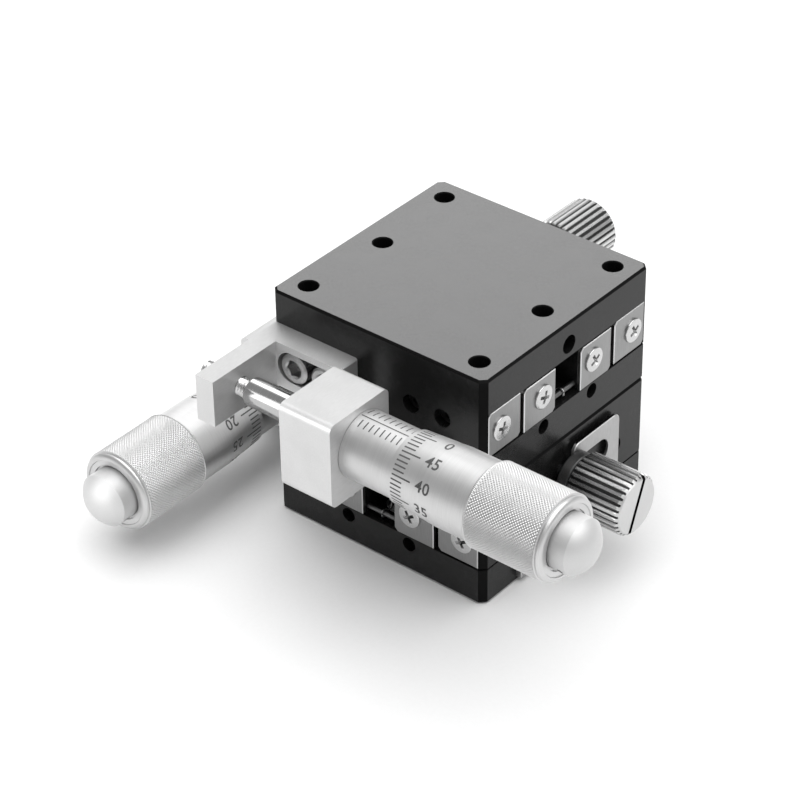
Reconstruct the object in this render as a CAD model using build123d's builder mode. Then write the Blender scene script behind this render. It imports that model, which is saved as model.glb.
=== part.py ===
"""Two-axis ball bearing stage: two equal single-axis stages, one on top of the other.

Each stage is a table that runs on two rows of balls over a base, moved by a
micrometer head against a return spring and held by a slotted clamp plate.
Everything is modelled once, in the frame of one stage: travel along X, micrometer
on the -Y side with its thimble at +X, clamp on the +Y side, base bottom at Z = 0.
The lower stage is that model turned a quarter, so that it travels along Y.
"""

import os
from math import asin, cos, sin, sqrt

from build123d import *

# Blocks of one stage
stage_size = 40.0
stage_height = 20.0
corner_chamfer = 1.0
edge_chamfer = 0.35
table_plate = 6.0
base_slab = 6.2
leg_thickness = 5.4
leg_gap = 0.3
table_gap = 0.4
channel_width = 6.0
travel = 6.5

# Ball guide
ball_diameter = 3.0
ball_count = 6
ball_pitch = 4.4
ball_clearance = 0.01
rail_gap = 0.9
rail_end_gap = 0.6
table_rail_width = 3.15
base_rail_width = 3.0
cage_thickness = 0.6
cage_height = 4.8
cage_overhang = 2.0
cage_hole_clearance = 0.03

# End plates that close the rails
stop_thickness = 0.6
stop_width = 7.45
stop_corner = 0.6
stop_edge = 0.12
stop_margin = 0.08
stop_screw_rise = 0.2
stop_screw_inset = 4.4
stop_screw_outset = 4.55
stop_head_diameter = 3.9
stop_head_rim = 0.35
stop_screw_length = 5.0
small_screw = 2.0

# Threaded and plain holes
main_screw = 3.0
screw_passage = 3.4
thread_chamfer = 0.15
tap_drill = 2.5
tap_depth = 8.0
corner_hole_inset = 4.0
centre_hole_inset = 4.9
counterbore_diameter = 6.0
counterbore_depth = 3.2
end_hole_drop = 3.8
end_hole_depth = 3.0
base_end_hole = 2.4
base_end_hole_spacing = 11.8
base_end_hole_height = 4.8
base_end_hole_depth = 4.0
side_hole_inset = 7.6
side_hole_spacing = 5.8
side_hole_rise = 0.7
set_screw_length = 4.0

# Cap screws
cap_head_diameter = 5.5
cap_head_height = 3.0
stack_screw_length = 8.0
hex_size = 2.5
set_hex_size = 1.5
hex_depth = 1.3

# Micrometer head
mic_reach = 11.7
mic_rise = 0.6
spindle_diameter = 4.5
spindle_chamfer = 0.25
running_clearance = 0.02
shank_diameter = 9.5
sleeve_diameter = 10.6
sleeve_end = 30.4
thimble_diameter = 12.2
thimble_start = 15.2
thimble_bevel = 1.1
thimble_lip = 0.25
thimble_clearance = 0.15
thimble_end_clearance = 0.3
knurl_start = 30.1
knurl_end = 42.6
knurl_diameter = 13.2
collar_length = 0.9
collar_fall = 0.25
collar_round = 0.6
knurl_bevel = 0.45
cap_diameter = 8.4
cap_neck = 0.3
cap_neck_diameter = 7.4
cap_length = 2.2
cap_dome = 2.2
cap_recess = 0.5
cap_recess_gap = 0.4

# Block that holds the micrometer head
holder_start = -2.2
holder_length = 9.45
holder_front_wall = 6.9
holder_back_wall = 5.95
holder_above = 6.45
holder_below = 7.8
holder_round = 1.1
flange_thickness = 3.0
flange_bottom = 0.9
flange_round = 0.9
flange_left = 7.3
flange_right = 12.3
flange_screw_left = 4.9
flange_screw_right = 9.9
flange_screw_length = 6.5
flange_head_diameter = 3.8

# Angle bracket that carries the anvil
bracket_thickness = 4.0
bracket_inset = 0.9
bracket_margin = 3.2
bracket_below = 4.1
bracket_height = 7.8
arm_thickness = 3.4
arm_margin = 6.0
bracket_chamfer = 0.25
bracket_slot_play = 0.9
bracket_head_diameter = 5.0
bracket_head_gap = 0.1
bracket_screw_length = 6.0
anvil_diameter = 3.0
anvil_back = 3.6
anvil_stub = 2.12
anvil_tip_chamfer = 0.3
touch_gap = 0.01

# Clamp
clamp_stand_off = 0.5
clamp_sheet = 0.5
clamp_half_length = 12.07
clamp_drop = 2.0
clamp_bottom = 0.9
clamp_round = 1.4
clamp_edge = 0.12
clamp_slot_above = 2.35
clamp_slot_below = 1.8
clamp_slot_end = 9.4
clamp_bar_end = 0.5
slot_flat = 0.05
clamp_screw_spacing = 15.0
clamp_screw_height = 3.4
clamp_screw_length = 5.0
knob_rise = 2.7
washer_diameter = 8.6
washer_thickness = 2.0
washer_chamfer = 0.25
stud_diameter = 3.0
stud_depth = 4.5
knob_diameter = 9.8
knob_length = 10.0
knob_rim = 0.5
ridge_count = 30
ridge_depth = 0.38
ridge_width = 0.62
knob_slot_width = 0.75
knob_slot_depth = 1.0
knob_slot_tilt = 22.0

# Return spring in the channel
spring_diameter = 2.6
spring_wire = 0.35
spring_rise = 0.95
hook_length = 1.2
pocket_width = 4.0
pocket_end = 3.0
pocket_depth = 0.7
pin_diameter = 0.9
base_pin_inset = 1.4
table_pin_inset = 9.5
pin_seat = 1.5
pin_overlap = 0.6

# Places that follow from the sizes above
half = stage_size / 2
table_bottom = stage_height - table_plate
leg_bottom = base_slab + leg_gap
leg_inside = half - leg_thickness
rib_top = table_bottom - table_gap
guide_height = (base_slab + table_bottom) / 2
hole_pattern = stage_size - 2 * corner_hole_inset
centre_hole_spacing = stage_size - 2 * centre_hole_inset
side_hole_height = guide_height + side_hole_rise
side_hole_outer = half - side_hole_inset
side_hole_inner = side_hole_outer - side_hole_spacing
screw_radius = main_screw / 2
small_radius = small_screw / 2
tap_radius = tap_drill / 2

rail_height = table_bottom - base_slab - rail_end_gap
rail_outer_face = leg_inside - table_rail_width
rail_inner_face = rail_outer_face - rail_gap
ball_line = (rail_outer_face + rail_inner_face) / 2
rail_end = half - stop_thickness
rail_length = 2 * rail_end
rib_inside = channel_width / 2
rib_outside = rail_inner_face - base_rail_width
groove_apex = sqrt(2) * (ball_diameter / 2 + ball_clearance)
cage_length = (ball_count - 1) * ball_pitch + 2 * cage_overhang

outer_stop_start = rail_outer_face
inner_stop_start = rail_inner_face - stop_width
outer_screw_line = rail_outer_face + stop_screw_outset
inner_screw_line = rail_inner_face - stop_screw_inset
stop_screw_height = guide_height + stop_screw_rise

mic_offset = half + mic_reach
mic_height = guide_height + mic_rise
mic_plane = Plane(origin=(0, -mic_offset, mic_height), x_dir=(1, 0, 0), z_dir=(0, -1, 0))
mic_axis = Axis((0, -mic_offset, mic_height), (1, 0, 0))
thimble_back = knurl_end + collar_length
spindle_bore = spindle_diameter / 2 + running_clearance
spindle_back = thimble_back - cap_recess - running_clearance

holder_front = mic_offset + holder_front_wall
holder_back = mic_offset - holder_back_wall
holder_bottom = mic_height - holder_below
holder_end = holder_start + holder_length
flange_front = half + flange_thickness
flange_top = base_slab
flange_screw_height = (flange_bottom + flange_top) / 2

bracket_left = half - bracket_inset
bracket_front = half + bracket_thickness
bracket_bottom = side_hole_height - bracket_below
arm_reach = mic_offset + arm_margin
bracket_right = side_hole_inner - bracket_margin
spindle_tip = -(bracket_left - arm_thickness - anvil_stub - touch_gap)

clamp_inner = half + clamp_stand_off
clamp_outer = clamp_inner + clamp_sheet
clamp_top = stage_height - clamp_drop
clamp_pad_top = leg_bottom - clamp_bottom
knob_start = clamp_outer + washer_thickness
knob_height = guide_height + knob_rise

spring_height = base_slab + spring_rise
base_pin_place = half - base_pin_inset
table_pin_place = -(half - table_pin_inset)
pin_radius = pin_diameter / 2
eye_radius = pin_radius + running_clearance + spring_wire


def both(value):
    """The same distance on both sides of the middle."""
    return (-value, value)


def facing(x, y, z, direction, x_direction=None):
    """Plane at a point, looking along a direction."""
    return Plane(origin=(x, y, z), x_dir=x_direction, z_dir=direction)


def end_planes(lines, height):
    """Planes on the outer faces of the end plates, at both ends and on both sides."""
    planes = []
    for end in (-1, 1):
        for line in lines:
            for side in both(line):
                planes.append(facing(end * half, side, height, (end, 0, 0)))
    return planes


def turned_screws(planes, profile, top=0.0, socket=0.0):
    """Turned screws along the planes; profile gives (distance above plane, radius)."""
    with BuildPart() as screws:
        for plane in planes:
            along = Plane(origin=plane.origin, x_dir=plane.z_dir, z_dir=plane.x_dir)
            with BuildSketch(along):
                with BuildLine():
                    Polyline(*profile, close=True)
                make_face()
            revolve(axis=Axis(plane.origin, plane.z_dir))
        if socket > 0:
            for plane in planes:
                with BuildSketch(plane.offset(top)):
                    RegularPolygon(socket / 2, 6, major_radius=False)
                extrude(amount=-hex_depth, mode=Mode.SUBTRACT)
    return screws.part


def flat_head_screws(planes, head_diameter, rim, diameter, length):
    """Countersunk screws, driven in along the planes, with a rim above each plane."""
    cone = (head_diameter - diameter) / 2
    profile = [
        (rim, 0),
        (rim, head_diameter / 2),
        (0, head_diameter / 2),
        (-cone, diameter / 2),
        (-length, diameter / 2),
        (-length, 0),
    ]
    if rim == 0:
        profile.pop(1)
    return turned_screws(planes, profile)


def cap_head_profile(head_diameter, length, neck=0.0, radius=0.0):
    """Half outline of a socket head cap screw; below the neck it may have another radius."""
    head_radius = head_diameter / 2
    profile = [
        (cap_head_height, 0),
        (cap_head_height, head_radius - thread_chamfer),
        (cap_head_height - thread_chamfer, head_radius),
        (0, head_radius),
        (0, screw_radius),
    ]
    if neck > 0:
        profile += [(-neck, screw_radius), (-neck, radius)]
    last_radius = radius if neck > 0 else screw_radius
    return profile + [(-length, last_radius), (-length, 0)]


# Stages stand on each other: the lower one is turned so that it travels along Y
stages = {
    "lower": Location((0, 0, 0), (0, 0, -90)),
    "upper": Location((0, 0, stage_height)),
}
os.makedirs("parts", exist_ok=True)


def write_copy(piece, stage, name):
    """Write one piece at one stage."""
    copy = piece.moved(stages[stage])
    copy.label = f"{stage}_{name}"
    export_step(copy, f"parts/{stage}_{name}.step")


def write_piece(piece, name):
    """Write one piece at both stages."""
    for stage in stages:
        write_copy(piece, stage, name)


# Table: a plate with a leg down each side, its ends cut back for the end plates
with BuildPart() as table:
    with BuildSketch(Plane.XY.offset(leg_bottom)):
        Rectangle(stage_size, stage_size)
        chamfer(vertices(), corner_chamfer)
    extrude(amount=stage_height - leg_bottom)
    with BuildSketch(Plane.YZ.offset(-half)):
        with Locations((0, leg_bottom)):
            Rectangle(
                2 * leg_inside,
                table_bottom - leg_bottom,
                align=(Align.CENTER, Align.MIN),
            )
    extrude(amount=stage_size, mode=Mode.SUBTRACT)
    for end in (-1, 1):
        with BuildSketch(Plane.YZ.offset(end * half)):
            with Locations((0, leg_bottom)):
                Rectangle(
                    2 * (half - corner_chamfer),
                    table_bottom - leg_bottom,
                    align=(Align.CENTER, Align.MIN),
                )
        extrude(amount=-end * stop_thickness, mode=Mode.SUBTRACT)
    chamfer(faces().sort_by(Axis.Z)[-1].outer_wire().edges(), edge_chamfer)
    # Threaded holes in the ends of the plate
    for end in (-1, 1):
        with Locations(facing(end * half, 0, stage_height - end_hole_drop, (end, 0, 0))):
            Hole(screw_radius, depth=end_hole_depth)
    # Threaded holes for the end plates
    for plane in end_planes([outer_screw_line], stop_screw_height):
        with Locations(plane):
            CounterSinkHole(
                small_radius,
                stop_head_diameter / 2,
                depth=stop_screw_length,
                counter_sink_angle=90,
            )
    # Threaded holes through both legs, for set screws and for the bracket
    for side in (-1, 1):
        for along in (-side_hole_outer, -side_hole_inner, side_hole_inner, side_hole_outer):
            with Locations(facing(along, side * half, side_hole_height, (0, side, 0))):
                Hole(screw_radius, depth=leg_thickness)
    # Threaded hole for the clamp
    with Locations(facing(0, half, knob_height, (0, 1, 0))):
        Hole(screw_radius + running_clearance, depth=stud_depth)
    # Seat of the spring pin
    with Locations(facing(table_pin_place, 0, table_bottom, (0, 0, -1))):
        Hole(pin_radius, depth=pin_seat)

# Threaded holes in the top of each table, one square of four and one row of two. The
# lower table's square is drawn at the tap drill, like the screws that fill it
for stage in stages:
    corner_radius = tap_radius if stage == "lower" else screw_radius
    with BuildPart() as drilled_table:
        add(table.part)
        with Locations(Plane.XY.offset(stage_height)):
            with GridLocations(hole_pattern, hole_pattern, 2, 2):
                Hole(corner_radius, depth=table_plate)
                Hole(tap_radius, depth=tap_depth)
            with GridLocations(centre_hole_spacing, 1, 2, 1):
                Hole(screw_radius, depth=table_plate)
        chamfer(faces().sort_by(Axis.Z)[-1].inner_wires().edges(), thread_chamfer)
    write_copy(drilled_table.part, stage, "table")

# Base: a slab with two ribs on it and a channel between them
with BuildPart() as base:
    with BuildSketch():
        Rectangle(stage_size, stage_size)
        chamfer(vertices(), corner_chamfer)
    extrude(amount=base_slab)
    chamfer(faces().sort_by(Axis.Z)[0].outer_wire().edges(), edge_chamfer)
    with BuildSketch(Plane.XY.offset(base_slab)):
        with Locations(*[(0, side) for side in both((rib_inside + rib_outside) / 2)]):
            Rectangle(rail_length, rib_outside - rib_inside)
    extrude(amount=rib_top - base_slab)
    # Pocket below the spring
    with BuildSketch(Plane.XY.offset(base_slab)):
        SlotOverall(stage_size - 2 * pocket_end, pocket_width)
    extrude(amount=-pocket_depth, mode=Mode.SUBTRACT)
    # Counterbored holes for the screws that hold the stage down
    with Locations(Plane.XY.offset(base_slab)):
        with GridLocations(hole_pattern, hole_pattern, 2, 2):
            CounterBoreHole(
                screw_passage / 2, counterbore_diameter / 2, counterbore_depth
            )
    # Holes in the ends of the slab
    for end in (-1, 1):
        for side in both(base_end_hole_spacing / 2):
            with Locations(facing(end * half, side, base_end_hole_height, (end, 0, 0))):
                Hole(base_end_hole / 2, depth=base_end_hole_depth)
    # Threaded holes for the end plates
    for plane in end_planes([inner_screw_line], stop_screw_height):
        with Locations(plane):
            CounterSinkHole(
                small_radius,
                stop_head_diameter / 2,
                depth=stop_screw_length,
                counter_sink_angle=90,
            )
    # Threaded holes for the holder of the micrometer head and for the clamp plate
    for along in (-flange_screw_left, flange_screw_right):
        with Locations(facing(along, -half, flange_screw_height, (0, -1, 0))):
            Hole(small_radius, depth=flange_screw_length - flange_thickness)
    for along in both(clamp_screw_spacing / 2):
        with Locations(facing(along, half, clamp_screw_height, (0, 1, 0))):
            Hole(small_radius, depth=clamp_screw_length)
    # Seats of the spring pin, one in each rib
    with Locations(facing(base_pin_place, rib_inside + pin_seat, spring_height, (0, 1, 0))):
        Hole(pin_radius, depth=2 * (rib_inside + pin_seat))
write_piece(base.part, "base")

# Rails with V grooves that face each other across the balls
with BuildPart() as base_rails:
    with BuildSketch(Plane.YZ.offset(-rail_end)):
        with Locations((rib_outside, base_slab)):
            Rectangle(
                rail_inner_face - rib_outside,
                rail_height,
                align=(Align.MIN, Align.MIN),
            )
        with Locations((ball_line, guide_height)):
            Rectangle(
                sqrt(2) * groove_apex,
                sqrt(2) * groove_apex,
                rotation=45,
                mode=Mode.SUBTRACT,
            )
        mirror(about=Plane.YZ)
    extrude(amount=rail_length)
write_piece(base_rails.part, "base_rails")

with BuildPart() as table_rails:
    with BuildSketch(Plane.YZ.offset(-rail_end)):
        with Locations((leg_inside, table_bottom)):
            Rectangle(
                leg_inside - rail_outer_face,
                rail_height,
                align=(Align.MAX, Align.MAX),
            )
        with Locations((ball_line, guide_height)):
            Rectangle(
                sqrt(2) * groove_apex,
                sqrt(2) * groove_apex,
                rotation=45,
                mode=Mode.SUBTRACT,
            )
        mirror(about=Plane.YZ)
    extrude(amount=rail_length)
write_piece(table_rails.part, "table_rails")

# Cages: a strip between each pair of rails, with a hole for each ball
with BuildPart() as cages:
    for line in both(ball_line):
        with BuildSketch(Plane.XZ.offset(-line - cage_thickness / 2)):
            with Locations((0, guide_height)):
                Rectangle(cage_length, cage_height)
                with GridLocations(ball_pitch, 1, ball_count, 1):
                    Circle(ball_diameter / 2 + cage_hole_clearance, mode=Mode.SUBTRACT)
        extrude(amount=cage_thickness)
write_piece(cages.part, "cages")

with BuildPart(Plane.XY.offset(guide_height)) as balls:
    with GridLocations(ball_pitch, 2 * ball_line, ball_count, 2):
        Sphere(ball_diameter / 2)
write_piece(balls.part, "balls")


def stop_plates(start, bottom, height, screw_line, turned):
    """Four end plates with two cut corners each and a countersunk hole.

    Seen from outside, the low cut corner is on the right, or on the left if turned.
    """
    with BuildPart() as plates:
        for end in (-1, 1):
            right = -end if turned else end
            for middle in both(start + stop_width / 2):
                with BuildSketch(Plane.YZ.offset(end * rail_end)):
                    with Locations((middle, bottom)):
                        Rectangle(stop_width, height, align=(Align.CENTER, Align.MIN))
                    rows = vertices().group_by(Axis.Y)
                    low = rows[0].sort_by(Axis.X)[max(0, right)]
                    high = rows[-1].sort_by(Axis.X)[max(0, -right)]
                    chamfer([low, high], stop_corner)
                extrude(amount=end * stop_thickness)
        for end_faces in (faces().group_by(Axis.X)[0], faces().group_by(Axis.X)[-1]):
            chamfer(end_faces.edges(), stop_edge)
        for plane in end_planes([screw_line], stop_screw_height):
            with Locations(plane):
                CounterSinkHole(
                    small_radius,
                    stop_head_diameter / 2,
                    depth=stop_thickness,
                    counter_sink_angle=90,
                )
    return plates.part


# End plates: the outer ones travel with the table, the inner ones stay on the base
table_stop_height = table_bottom - leg_bottom - stop_margin
base_stop_height = rib_top - base_slab
for stage in stages:
    turned = stage == "lower"
    outer_stops = stop_plates(
        outer_stop_start, leg_bottom, table_stop_height, outer_screw_line, turned
    )
    write_copy(outer_stops, stage, "table_stops")
    inner_stops = stop_plates(
        inner_stop_start, base_slab, base_stop_height, inner_screw_line, turned
    )
    write_copy(inner_stops, stage, "base_stops")

table_stop_screws = flat_head_screws(
    end_planes([outer_screw_line], stop_screw_height),
    stop_head_diameter,
    stop_head_rim,
    small_screw,
    stop_screw_length,
)
write_piece(table_stop_screws, "table_stop_screws")

base_stop_screws = flat_head_screws(
    end_planes([inner_screw_line], stop_screw_height),
    stop_head_diameter,
    stop_head_rim,
    small_screw,
    stop_screw_length,
)
write_piece(base_stop_screws, "base_stop_screws")

# Set screws that press one table rail towards the balls
set_planes = [
    facing(along, -leg_inside, side_hole_height, (0, -1, 0))
    for along in (side_hole_inner, side_hole_outer)
]
set_profile = [
    (set_screw_length, 0),
    (set_screw_length, screw_radius),
    (0, screw_radius),
    (0, 0),
]
preload_screws = turned_screws(set_planes, set_profile, set_screw_length, set_hex_size)
write_piece(preload_screws, "preload_screws")

# Angle bracket: one leg on the side of the table, one arm in front of the spindle
with BuildPart() as bracket:
    with BuildSketch(Plane.XY.offset(bracket_bottom)):
        with BuildLine():
            Polyline(
                (-bracket_left, -half),
                (-bracket_left, -arm_reach),
                (-bracket_left + arm_thickness, -arm_reach),
                (-bracket_left + arm_thickness, -bracket_front),
                (-bracket_right, -bracket_front),
                (-bracket_right, -half),
                close=True,
            )
        make_face()
    extrude(amount=bracket_height)
    right_face = faces().sort_by(Axis.X)[-1]
    chamfer(right_face.edges().filter_by(Axis.Y), bracket_chamfer)
    # Counterbored slot that takes both screws
    slot_middle = -(side_hole_inner + side_hole_outer) / 2
    slot_plane = Plane(
        origin=(slot_middle, -bracket_front, side_hole_height),
        x_dir=(1, 0, 0),
        z_dir=(0, -1, 0),
    )
    slot_centres = side_hole_outer - side_hole_inner + bracket_slot_play
    with BuildSketch(slot_plane):
        SlotCenterToCenter(slot_centres, bracket_head_diameter + 2 * bracket_head_gap)
    extrude(amount=-cap_head_height, mode=Mode.SUBTRACT)
    with BuildSketch(slot_plane):
        SlotCenterToCenter(slot_centres, screw_passage)
    extrude(amount=-bracket_thickness, mode=Mode.SUBTRACT)
    # Threaded hole for the anvil, on the axis of the micrometer
    with Locations(facing(-bracket_left, -mic_offset, mic_height, (-1, 0, 0))):
        Hole(anvil_diameter / 2, depth=arm_thickness)
write_piece(bracket.part, "bracket")

bracket_screws = turned_screws(
    [
        facing(-along, -(bracket_front - cap_head_height), side_hole_height, (0, -1, 0))
        for along in (side_hole_inner, side_hole_outer)
    ],
    cap_head_profile(bracket_head_diameter, bracket_screw_length),
    cap_head_height,
    hex_size,
)
write_piece(bracket_screws, "bracket_screws")

# Anvil: a set screw through the arm, against the tip of the spindle
anvil_start = -bracket_left - anvil_back
with BuildPart() as anvil:
    with BuildSketch(mic_plane):
        with BuildLine():
            Polyline(
                (anvil_start, 0),
                (anvil_start, anvil_diameter / 2),
                (spindle_tip - touch_gap - anvil_tip_chamfer, anvil_diameter / 2),
                (spindle_tip - touch_gap, anvil_diameter / 2 - anvil_tip_chamfer),
                (spindle_tip - touch_gap, 0),
                close=True,
            )
        make_face()
    revolve(axis=mic_axis)
    with BuildSketch(facing(anvil_start, -mic_offset, mic_height, (-1, 0, 0))):
        RegularPolygon(set_hex_size / 2, 6, major_radius=False)
    extrude(amount=-hex_depth, mode=Mode.SUBTRACT)
write_piece(anvil.part, "anvil")

# Holder: a block round the shank of the micrometer head, with a flange on the slab
with BuildPart() as holder:
    with BuildSketch(Plane.YZ.offset(holder_start)):
        with Locations((-holder_front, holder_bottom)):
            Rectangle(
                holder_front - holder_back,
                holder_above + holder_below,
                align=(Align.MIN, Align.MIN),
            )
        fillet(vertices(), holder_round)
    extrude(amount=holder_length)
    with BuildSketch(Plane.YZ.offset(holder_start)):
        with Locations((-holder_back - holder_round, holder_bottom)):
            Rectangle(
                holder_back + holder_round - half,
                flange_top - holder_bottom,
                align=(Align.MIN, Align.MIN),
            )
    extrude(amount=holder_length)
    with BuildSketch(Plane.XZ.offset(half)):
        with Locations((-flange_left, flange_bottom)):
            Rectangle(
                flange_left + flange_right,
                flange_top - flange_bottom,
                align=(Align.MIN, Align.MIN),
            )
        fillet(vertices(), flange_round)
    extrude(amount=flange_thickness)
    with Locations(facing(holder_end, -mic_offset, mic_height, (1, 0, 0))):
        Hole(shank_diameter / 2, depth=holder_length)
    for along in (-flange_screw_left, flange_screw_right):
        with Locations(facing(along, -flange_front, flange_screw_height, (0, -1, 0))):
            CounterSinkHole(
                small_radius,
                flange_head_diameter / 2,
                depth=flange_thickness,
                counter_sink_angle=90,
            )
write_piece(holder.part, "holder")

holder_screws = flat_head_screws(
    [
        facing(along, -flange_front, flange_screw_height, (0, -1, 0))
        for along in (-flange_screw_left, flange_screw_right)
    ],
    flange_head_diameter,
    0,
    small_screw,
    flange_screw_length,
)
write_piece(holder_screws, "holder_screws")

# Micrometer head: sleeve, spindle, thimble and end cap, all turned on one axis
with BuildPart() as sleeve:
    with BuildSketch(mic_plane):
        with BuildLine():
            Polyline(
                (holder_start, spindle_bore),
                (holder_start, shank_diameter / 2),
                (holder_end, shank_diameter / 2),
                (holder_end, sleeve_diameter / 2),
                (sleeve_end, sleeve_diameter / 2),
                (sleeve_end, spindle_bore),
                close=True,
            )
        make_face()
    revolve(axis=mic_axis)
write_piece(sleeve.part, "sleeve")

with BuildPart() as spindle:
    with BuildSketch(mic_plane):
        with BuildLine():
            Polyline(
                (spindle_tip, 0),
                (spindle_tip, spindle_diameter / 2 - spindle_chamfer),
                (spindle_tip + spindle_chamfer, spindle_diameter / 2),
                (spindle_back, spindle_diameter / 2),
                (spindle_back, 0),
                close=True,
            )
        make_face()
    revolve(axis=mic_axis)
write_piece(spindle.part, "spindle")

thimble_radius = thimble_diameter / 2
thimble_bore = sleeve_diameter / 2 + thimble_clearance
cavity_end = sleeve_end + travel + thimble_end_clearance
recess_end = thimble_back - cap_recess
recess_radius = cap_diameter / 2 + cap_recess_gap
with BuildPart() as thimble:
    with BuildSketch(mic_plane):
        with BuildLine():
            Polyline(
                (thimble_start, thimble_bore),
                (thimble_start, thimble_bore + thimble_lip),
                (thimble_start + thimble_bevel, thimble_radius),
                (knurl_start, thimble_radius),
                (knurl_start + knurl_bevel, knurl_diameter / 2),
                (knurl_end, knurl_diameter / 2),
                (thimble_back, knurl_diameter / 2 - collar_fall),
                (thimble_back, recess_radius),
                (recess_end, recess_radius),
                (recess_end, spindle_bore),
                (cavity_end, spindle_bore),
                (cavity_end, thimble_bore),
                close=True,
            )
        make_face()
        back_rim = vertices().group_by(Axis.X)[-1].sort_by(Axis.Y)[-1]
        fillet(back_rim, collar_round)
    revolve(axis=mic_axis)
write_piece(thimble.part, "thimble")

neck_end = thimble_back + cap_neck
shoulder_end = neck_end + cap_length
dome_radius = (cap_diameter**2 / 4 + cap_dome**2) / (2 * cap_dome)
dome_middle = shoulder_end + cap_dome - dome_radius
dome_turn = asin(cap_diameter / 2 / dome_radius)
with BuildPart() as cap:
    with BuildSketch(mic_plane):
        with BuildLine():
            Polyline(
                (shoulder_end + cap_dome, 0),
                (recess_end, 0),
                (recess_end, cap_neck_diameter / 2),
                (neck_end, cap_neck_diameter / 2),
                (neck_end, cap_diameter / 2),
                (shoulder_end, cap_diameter / 2),
            )
            ThreePointArc(
                (shoulder_end, cap_diameter / 2),
                (dome_middle + dome_radius * cos(dome_turn / 2), dome_radius * sin(dome_turn / 2)),
                (shoulder_end + cap_dome, 0),
            )
        make_face()
    revolve(axis=mic_axis)
write_piece(cap.part, "cap")

# Clamp plate: a sheet on a pad at the side of the base, with a slot along the travel
slot_top = knob_height + clamp_slot_above
slot_bottom = knob_height - clamp_slot_below
with BuildPart() as clamp_plate:
    with BuildSketch(Plane.XZ.offset(-clamp_outer)):
        with Locations((-clamp_half_length, clamp_bottom)):
            Rectangle(
                2 * clamp_half_length,
                slot_bottom - clamp_bottom,
                align=(Align.MIN, Align.MIN),
            )
            Rectangle(
                clamp_half_length - clamp_bar_end,
                clamp_top - clamp_bottom,
                align=(Align.MIN, Align.MIN),
            )
        with Locations((-clamp_slot_end, slot_bottom)):
            Rectangle(
                clamp_slot_end + clamp_half_length,
                slot_top - slot_bottom,
                align=(Align.MIN, Align.MIN),
                mode=Mode.SUBTRACT,
            )
        slot_corners = vertices().filter_by_position(
            Axis.X, -clamp_slot_end - slot_flat, -clamp_slot_end + slot_flat
        )
        fillet(slot_corners, (slot_top - slot_bottom) / 2 - slot_flat)
        bar_tip = vertices().filter_by_position(
            Axis.X, -clamp_bar_end - slot_flat, -clamp_bar_end + slot_flat
        )
        fillet(bar_tip, (clamp_top - slot_top) / 2 - slot_flat)
        bar_corner = vertices().group_by(Axis.Y)[-1].sort_by(Axis.X)[0]
        fillet(bar_corner, clamp_round)
        end_corner = vertices().group_by(Axis.X)[-1].sort_by(Axis.Y)[-1]
        fillet(end_corner, clamp_round)
    extrude(amount=clamp_sheet)
    chamfer(faces().sort_by(Axis.Y)[-1].edges(), clamp_edge)
    with BuildSketch(Plane.XZ.offset(-clamp_inner)):
        with Locations((0, clamp_bottom)):
            Rectangle(
                2 * clamp_half_length,
                clamp_pad_top - clamp_bottom,
                align=(Align.CENTER, Align.MIN),
            )
    extrude(amount=clamp_stand_off)
    for along in both(clamp_screw_spacing / 2):
        with Locations(facing(along, clamp_outer, clamp_screw_height, (0, 1, 0))):
            CounterSinkHole(
                small_radius,
                flange_head_diameter / 2,
                depth=clamp_stand_off + clamp_sheet,
                counter_sink_angle=90,
            )
write_piece(clamp_plate.part, "clamp_plate")

clamp_plate_screws = flat_head_screws(
    [
        facing(along, clamp_outer, clamp_screw_height, (0, 1, 0))
        for along in both(clamp_screw_spacing / 2)
    ],
    flange_head_diameter,
    0,
    small_screw,
    clamp_screw_length,
)
write_piece(clamp_plate_screws, "clamp_plate_screws")

# Clamp screw: washer on the plate, stud in the table, ridged knob on the stud
stud_radius = stud_diameter / 2
with BuildPart(facing(0, clamp_outer + touch_gap, knob_height, (0, 1, 0))) as washer:
    Cylinder(
        washer_diameter / 2,
        washer_thickness - 2 * touch_gap,
        align=(Align.CENTER, Align.CENTER, Align.MIN),
    )
    Cylinder(
        stud_radius + running_clearance,
        washer_thickness,
        align=(Align.CENTER, Align.CENTER, Align.MIN),
        mode=Mode.SUBTRACT,
    )
    chamfer(
        washer.edges().filter_by(GeomType.CIRCLE).sort_by(SortBy.RADIUS)[-2:],
        washer_chamfer,
    )
write_piece(washer.part, "clamp_washer")

stud_end = knob_start + knob_length - 2 * knob_slot_depth
with BuildPart(facing(0, half - stud_depth, knob_height, (0, 1, 0))) as clamp_stud:
    Cylinder(
        stud_radius,
        stud_end - half + stud_depth,
        align=(Align.CENTER, Align.CENTER, Align.MIN),
    )
write_piece(clamp_stud.part, "clamp_stud")

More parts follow.
